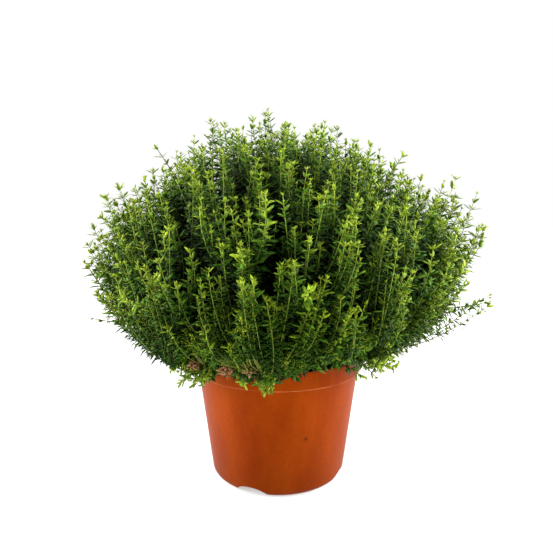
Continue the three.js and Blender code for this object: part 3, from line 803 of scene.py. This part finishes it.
leaf_skin = plant_skin("thyme_leaf_skin", LEAF, roughness=0.48, blemish=1.1)
twig_bark = plant_skin("thyme_twig_bark", TWIG, roughness=0.6, blemish=0.7)

leaders = []
for number, (toward, reach) in enumerate(dome_tips()):
    spot = STEM_FIELD * math.sqrt((number + 0.5) / STEM_COUNT)
    leaders.append(leader_path(toward, reach, spot))
fork_shares = np.linspace(*FORK_SHARES, FORKS_PER_STEM)
forks = [(number, share) for number in range(STEM_COUNT) for share in fork_shares]
fork_places = [leaders[number].at(leaders[number].length * share)[0] for number, share in forks]
clear = [i for i, place in enumerate(fork_places) if place.z >= lowest_at(place, 0)]
forks = [forks[i] for i in clear]
fork_places = np.array([fork_places[i] for i in clear])

columns = []
for item in range(COLUMNS):
    lift = math.asin(1 - (item + 0.5) / COLUMNS * COLUMNS_DOWN)
    columns.append(direction(item * GOLDEN_ANGLE + COLUMN_SCATTER * draw(item, 17), lift))
column_rows = np.array(columns)

# Each tip, its leafed length, and how far over the hem it stays, which known tips don't have
shoot_tips = [(Vector(tip), KNOWN_LEAFED, None) for tip in KNOWN_TIPS]
for count, least, most, leafed in (OUTER_SHOOTS, MIDDLE_SHOOTS, INNER_SHOOTS):
    for item in range(count):
        share = (item + 0.5) / count
        around = item * GOLDEN_ANGLE + SHOOT_SCATTER * draw(item, 11)
        lowest = math.radians(by_direction(direction(around, 0), LOWEST_LIFTS))
        toward = direction(around, math.asin(1 - share * (1 - math.sin(lowest))))
        column = int(np.argmax(column_rows @ np.array(toward)))
        toward = toward.lerp(columns[column], COLUMN_PULL).normalized()
        reach = shoot_reach(math.atan2(toward.y, toward.x), math.asin(toward.z))
        reach *= mix(least, most, draw(item, 12) ** REACH_CURVE) * (1 - COLUMN_SHORTER * draw(column, 18))
        tip = toward * reach + RIM_CENTRE
        hem = HEM_SCATTER * draw(item, 14) - (HEM_DROP if tip.x < HEM_STEP else 0)
        shoot_tips.append((tip, leafed, hem))

shoots = [[] for _ in leaders]
for item, (tip, leafed, hem) in enumerate(shoot_tips):
    over_hem = hem is not None and tip.y < 0 and HEM_FROM < tip.x < HEM_TO
    growth = growth_at(tip, not over_hem)
    length = mix(*SHOOT_LENGTHS, draw(item, 13))
    sweep = Vector((tip.x, tip.y, 0)).normalized() * (HEM_SWEEP if over_hem else SHOOT_SWEEP)
    root = tip - (growth + sweep) * length
    nearest = int(np.argmin(np.linalg.norm(fork_places - np.array(root), axis=1)))
    number, share = forks[nearest]
    start, along = leaders[number].at(leaders[number].length * share)
    length = (tip - start).length
    sway = Vector((draw(item, 15) - 0.5, draw(item, 16) - 0.5, 0)) * length * SHOOT_SWAY
    below = tip - growth * length * SHOOT_RISE + sway
    path = Path(start, start + along * length * SHOOT_START, below, tip, hem=hem)
    clear_from = min(path.clear_from, path.length - LEAST_LEAFED)
    first = max(path.length * SHOOT_BARE, path.length - leafed, clear_from)
    # Towards the sides and foot shoots stay young for longer, which paints light there: their leaves are
    # lighter
    side = min((tip.x / SIDE_WIDTH) ** 2, 1) * YOUNG_AND_PAINTED_LIGHT_AT_SIDE
    low = min(1 - (tip.z - POT_HEIGHT) / FOOT_HEIGHT, 1) * YOUNG_AND_PAINTED_LIGHT_AT_FOOT
    young = YOUNG_LENGTHS[1] if hem is None else mix(*YOUNG_LENGTHS, max(side, low))
    shoots[number].append((path, first, young, KNOWN_DULLEST if hem is None else 0))

for number, leader in enumerate(leaders):
    sprig = Sprig(number)
    sprig.grow(leader, leader.length - LEADER_LEAFED, LEADER_THICKNESS, LEADER_YOUNG, wood=LEADER_WOOD)
    for path, first, young, dullest in shoots[number]:
        sprig.grow(path, first, SHOOT_THICKNESS, young, dullest=dullest)
    node = f"stem_{number + 1:02d}"
    piece = sprig.finish(f"leafy_{node}", leaf_skin, twig_bark)
    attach(piece, "root")
    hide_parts(node)

# Withered sprigs
# Short low twigs at the left of the rim's front, whose tufts of leaves have dried pinkish brown and
# curled. They stand in the compost as the leafy stems do.
WITHERED_FIELD = 59
WITHERED_SEED = 100
WITHERED_BARE = 0.7
WITHERED_THICKNESS = 0.9
TUFT_LEAVES = 60
TUFT_RADIUS = 4
TUFT_LOWEST = -0.6
TUFT_LEANS = (0.2, 1.2)
TUFT_LENGTHS = (2.8, 4.6)
WITHERED_LEAF = {"pale": "#E6B58A", "dry": "#C08458", "dark": "#74452C"}
WITHERED_TWIG = {"pale": "#9A7B55", "dark": "#4E3322"}


def add_tuft(sprig, centre):
    """A ball of curled dry leaves at a twig's end."""
    rand = sprig.random
    for _ in range(TUFT_LEAVES):
        along = direction(rand.uniform(0, 2 * math.pi), math.asin(rand.uniform(TUFT_LOWEST, 1)))
        side = sprig.aside(along, rand.uniform(0, 2 * math.pi))
        sprig.leaf(centre + along * rand.uniform(0, TUFT_RADIUS), along, side, rand.uniform(*TUFT_LEANS),
                   rand.uniform(*TUFT_LENGTHS), rand.random(), SMALL_LEAF)


dry_skin = plant_skin("dried_leaf_skin", WITHERED_LEAF, roughness=0.8, blemish=1.4)
dry_bark = plant_skin("dried_twig_bark", WITHERED_TWIG, roughness=0.85, blemish=0.8)
for number, tip in enumerate(WITHERED):
    toward, reach = given_tip(*tip)
    sprig = Sprig(WITHERED_SEED + number, parts=False)
    path = leader_path(toward, reach, WITHERED_FIELD)
    sprig.grow(path, path.length * WITHERED_BARE, WITHERED_THICKNESS)
    add_tuft(sprig, path.at(path.length)[0])
    node = f"withered_sprig_{number + 1}"
    piece = sprig.finish(f"dried_{node}", dry_skin, dry_bark)
    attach(piece, "root")
    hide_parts(node)

for shape in (TIP_LEAF, NARROW_LEAF, SMALL_LEAF, DEEP_LEAF, TWIG_LENGTH):
    bpy.data.meshes.remove(shape)

# Floor, light and camera
# A white paper sweep under plain soft studio light, seen from the photograph's height and distance.
FLOOR_SIZE = 12
PAPER = {"grey": "#B8B8B7", "pale": "#BDBDBD"}
PAPER_GLOW = 0.5
LIGHT_SIZE = 1.2
LIGHT_AIM = (0, 0, 0.12)
LEFT_AT = (-1.5, 0.0, 0.9)
LEFT_POWER = 49
RIGHT_AT = (1.5, 0.0, 0.8)
RIGHT_POWER = 51
CAMERA_AT = (-0.0013, -0.423, 0.214)
CAMERA_PITCH = 7.1
FOCAL_PIXELS = 520
FRAME_PIXELS = 553
SENSOR = 36

bm = bmesh.new()
bmesh.ops.create_grid(bm, x_segments=1, y_segments=1, size=FLOOR_SIZE / 2)
mesh = bpy.data.meshes.new("floor")
bm.to_mesh(mesh)
bm.free()
paper, tree, output = new_material("white_paper")
fibres = add(tree, "ShaderNodeTexNoise", inputs={"Scale": 1 / (25 * MM)},
             links={"Vector": add(tree, "ShaderNodeTexCoord").outputs["Object"]})
sheet = add(tree, "ShaderNodeValToRGB", links={"Fac": fibres.outputs["Fac"]},
            stops=[(0.3, linear(PAPER["grey"])), (0.7, linear(PAPER["pale"]))])
shader = add(tree, "ShaderNodeBsdfPrincipled",
             inputs={"Roughness": 0.9, "Emission Color": (1, 1, 1, 1), "Emission Strength": PAPER_GLOW},
             links={"Base Color": sheet.outputs["Color"]})
tree.links.new(shader.outputs["BSDF"], output.inputs["Surface"])
mesh.materials.append(paper)
floor = bpy.data.objects.new("floor", mesh)
bpy.context.scene.collection.objects.link(floor)


def soft_light(name, place, power):
    """A square soft box that faces the plant."""
    light = bpy.data.lights.new(name, "AREA")
    light.energy = power
    light.size = LIGHT_SIZE
    lamp = bpy.data.objects.new(name, light)
    lamp.location = place
    lamp.rotation_euler = (Vector(LIGHT_AIM) - Vector(place)).to_track_quat("-Z", "Y").to_euler()
    bpy.context.scene.collection.objects.link(lamp)


soft_light("left_box", LEFT_AT, LEFT_POWER)
soft_light("right_box", RIGHT_AT, RIGHT_POWER)

world = bpy.data.worlds.new("studio")
world.use_nodes = True
world.node_tree.nodes["Background"].inputs["Color"].default_value = (1, 1, 1, 1)
world.node_tree.nodes["Background"].inputs["Strength"].default_value = 1.0
bpy.context.scene.world = world
bpy.context.scene.view_settings.view_transform = "Standard"

camera = bpy.data.objects.new("camera", bpy.data.cameras.new("camera"))
camera.data.sensor_width = SENSOR
camera.data.lens = SENSOR * FOCAL_PIXELS / FRAME_PIXELS
camera.location = CAMERA_AT
camera.rotation_euler = (math.radians(90 - CAMERA_PITCH), 0, 0)
bpy.context.scene.collection.objects.link(camera)
bpy.context.scene.camera = camera
